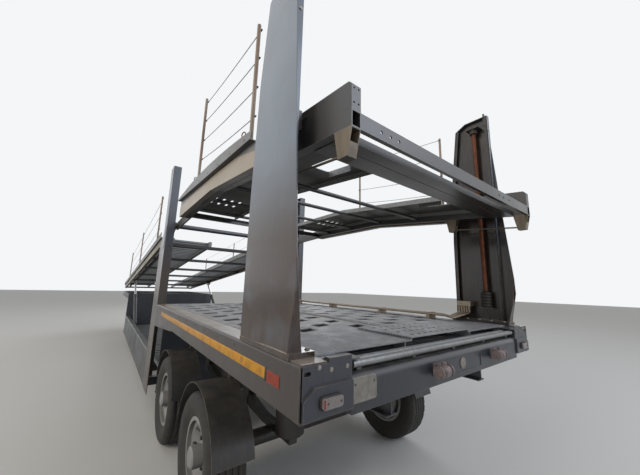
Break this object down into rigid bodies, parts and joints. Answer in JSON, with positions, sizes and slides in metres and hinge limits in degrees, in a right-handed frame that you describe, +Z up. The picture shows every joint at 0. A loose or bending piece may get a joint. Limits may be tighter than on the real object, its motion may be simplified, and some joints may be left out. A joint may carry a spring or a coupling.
{
  "type": "car transporter semi-trailer",
  "caption": "Two-deck car transporter semi-trailer with a raised deck over the wheels, a low well, lifting upper platforms, wide posts, kingpin and landing legs.",
  "frame": {"origin": "on the ground, under the middle of the trailer's length and width", "axes": "+X forward to the kingpin end, +Y to the trailer's left, +Z up"},
  "size_m": [13.36, 2.55, 3.87],
  "materials": {
    "air_bag": "matt rubber",
    "chassis_paint": "satin grey paint with brown road dust",
    "galvanised": "dull hot-dip galvanised sheet",
    "lamp": "pale lens",
    "marker": "orange lens",
    "platform_paint": "blue-grey satin paint",
    "rod_steel": "ground steel",
    "running_gear": "black chassis paint",
    "tyre": "worn tyre rubber",
    "wheel_paint": "silver-grey wheel paint"
  },
  "bodies": {
    "chassis": {"air_springs": "air_bag", "arm_hangers": "running_gear", "axle_front": "running_gear", "axle_rear": "running_gear", "chassis_rails": "chassis_paint", "corner_boxes": "chassis_paint", "coupling_plate": "chassis_paint", "deck_members": "chassis_paint", "deck_tracks": "galvanised", "hinge_tube": "running_gear", "hydraulic_pipes": "galvanised", "kingpin": "rod_steel", "landing_legs": "running_gear", "lift_pins": "running_gear", "lift_spindles": "running_gear", "mid_posts": "chassis_paint", "mudguards": "running_gear", "neck_frame": "chassis_paint", "ramp_couplings": "running_gear", "ramp_tubes": "galvanised", "rear_apron": "galvanised", "rear_beam": "chassis_paint", "rear_lamps": "lamp", "rear_posts": "chassis_paint", "rear_sills": "chassis_paint", "side_markers": "marker", "trailing_arms": "running_gear", "well_members": "chassis_paint", "well_rear_wall": "chassis_paint", "well_sills": "chassis_paint", "well_tracks": "galvanised"},
    "rear_platform": {"upper_rear_beams": "platform_paint", "upper_rear_crossbeams": "platform_paint", "upper_rear_tracks": "galvanised", "upper_rear_walkways": "galvanised", "rear_stanchions": "running_gear", "upper_rear_brackets": "platform_paint"},
    "platform_nuts": {"spindle_nuts": "platform_paint"},
    "front_platform": {"upper_front_beams": "platform_paint", "upper_front_tracks": "galvanised", "upper_front_crossbeams": "platform_paint", "front_stanchions": "running_gear", "upper_front_walkways": "galvanised"},
    "cylinder_barrels": {"lift_barrels": "running_gear"},
    "cylinder_rods": {"lift_rods": "rod_steel"},
    "wheel_rear_left": {"tyre_rear_left": "tyre", "rim_rear_left": "wheel_paint", "hub_rear_left": "wheel_paint"},
    "wheel_rear_right": {"tyre_rear_right": "tyre", "rim_rear_right": "wheel_paint", "hub_rear_right": "wheel_paint"},
    "wheel_front_left": {"tyre_front_left": "tyre", "rim_front_left": "wheel_paint", "hub_front_left": "wheel_paint"},
    "wheel_front_right": {"tyre_front_right": "tyre", "rim_front_right": "wheel_paint", "hub_front_right": "wheel_paint"}
  },
  "joints": [
    {"name": "rear_platform_tilt", "type": "hinge", "parent": "chassis", "child": "rear_platform", "pos_m": [-2.61, 0, 2.665], "axis": [0, 1, 0], "range_deg": [-10, 12]},
    {"name": "nut_travel", "type": "slide", "parent": "chassis", "child": "platform_nuts", "axis": [0, 0, 1], "range_m": [-0.639, 0.766]},
    {"name": "front_platform_tilt", "type": "hinge", "parent": "chassis", "child": "front_platform", "pos_m": [-2.61, 0, 2.665], "axis": [0, -1, 0], "range_deg": [0, 8.5]},
    {"name": "cylinder_swing", "type": "hinge", "parent": "chassis", "child": "cylinder_barrels", "pos_m": [1.78, 0, 0.64], "axis": [0, -1, 0], "range_deg": [-0.2, 15.46]},
    {"name": "rod_stroke", "type": "slide", "parent": "cylinder_barrels", "child": "cylinder_rods", "axis": [0.8151, 0, 0.5794], "range_m": [-0.003, 0.668]},
    {"name": "wheel_rear_left_spin", "type": "hinge", "parent": "chassis", "child": "wheel_rear_left", "pos_m": [-5.02, 1.0975, 0.448], "axis": [0, 1, 0], "continuous": true},
    {"name": "wheel_rear_right_spin", "type": "hinge", "parent": "chassis", "child": "wheel_rear_right", "pos_m": [-5.02, -1.0975, 0.448], "axis": [0, 1, 0], "continuous": true},
    {"name": "wheel_front_left_spin", "type": "hinge", "parent": "chassis", "child": "wheel_front_left", "pos_m": [-3.66, 1.0975, 0.448], "axis": [0, 1, 0], "continuous": true},
    {"name": "wheel_front_right_spin", "type": "hinge", "parent": "chassis", "child": "wheel_front_right", "pos_m": [-3.66, -1.0975, 0.448], "axis": [0, 1, 0], "continuous": true}
  ],
  "couplings": [
    {"joint": "nut_travel", "follows": "rear_platform_tilt", "m_per_rad": 3.645},
    {"joint": "cylinder_swing", "follows": "front_platform_tilt", "ratio": 1.7955},
    {"joint": "rod_stroke", "follows": "front_platform_tilt", "m_per_rad": 4.4799}
  ]
}
